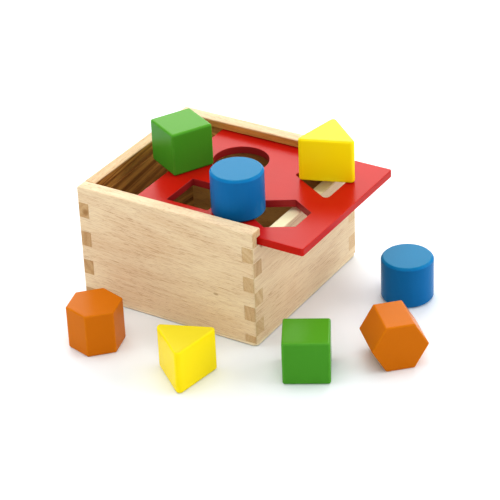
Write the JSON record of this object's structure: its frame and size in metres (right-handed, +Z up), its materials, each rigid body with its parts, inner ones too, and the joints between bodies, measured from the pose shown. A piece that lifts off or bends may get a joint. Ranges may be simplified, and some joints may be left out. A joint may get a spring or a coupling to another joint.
{
  "type": "shape sorter",
  "caption": "Wooden shape sorter: a finger-jointed box with a sliding painted lid, a hole for each block shape, and painted blocks that drop through the holes.",
  "frame": {"origin": "centre of the box's underside, where the box rests on the ground", "axes": "+Z up, +X the way the lid slides out, over the low end wall, -Y the front of the box"},
  "size_m": [0.2727, 0.2261, 0.1226],
  "materials": {
    "rubberwood": "clear satin lacquer",
    "plywood": "clear satin lacquer",
    "red_paint": "gloss paint on plywood",
    "green_paint": "satin paint",
    "blue_paint": "satin paint",
    "yellow_paint": "satin paint",
    "orange_paint": "satin paint"
  },
  "bodies": {
    "box": {"front_wall": "rubberwood", "back_wall": "rubberwood", "left_end_wall": "rubberwood", "right_end_wall": "rubberwood", "bottom_panel": "plywood"},
    "lid": {"lid": "red_paint"},
    "green_cube_1": {"green_cube_1": "green_paint"},
    "green_cube_2": {"green_cube_2": "green_paint"},
    "blue_cylinder_1": {"blue_cylinder_1": "blue_paint"},
    "blue_cylinder_2": {"blue_cylinder_2": "blue_paint"},
    "yellow_triangle_1": {"yellow_triangle_1": "yellow_paint"},
    "yellow_triangle_2": {"yellow_triangle_2": "yellow_paint"},
    "orange_hexagon_1": {"orange_hexagon_1": "orange_paint"},
    "orange_hexagon_2": {"orange_hexagon_2": "orange_paint"}
  },
  "joints": [
    {"name": "lid_slide", "type": "slide", "parent": "box", "child": "lid", "axis": [1, 0, 0], "range_m": [-0.0337, 0.112]},
    {"name": "green_cube_1_lift", "type": "slide", "parent": "box", "child": "green_cube_1", "axis": [0, 0, 1], "range_m": [0, 0.04]},
    {"name": "blue_cylinder_1_lift", "type": "slide", "parent": "lid", "child": "blue_cylinder_1", "axis": [0, 0, 1], "range_m": [0, 0.04]},
    {"name": "yellow_triangle_1_lift", "type": "slide", "parent": "lid", "child": "yellow_triangle_1", "axis": [0, 0, 1], "range_m": [0, 0.04]},
    {"name": "green_cube_2_lift", "type": "slide", "parent": "box", "child": "green_cube_2", "axis": [0, 0, 1], "range_m": [0, 0.04]},
    {"name": "blue_cylinder_2_lift", "type": "slide", "parent": "box", "child": "blue_cylinder_2", "axis": [0, 0, 1], "range_m": [0, 0.04]},
    {"name": "yellow_triangle_2_lift", "type": "slide", "parent": "box", "child": "yellow_triangle_2", "axis": [0, 0, 1], "range_m": [0, 0.04]},
    {"name": "orange_hexagon_1_lift", "type": "slide", "parent": "box", "child": "orange_hexagon_1", "axis": [0, 0, 1], "range_m": [0, 0.04]},
    {"name": "orange_hexagon_2_lift", "type": "slide", "parent": "box", "child": "orange_hexagon_2", "axis": [0, 0, 1], "range_m": [0, 0.04]}
  ]
}
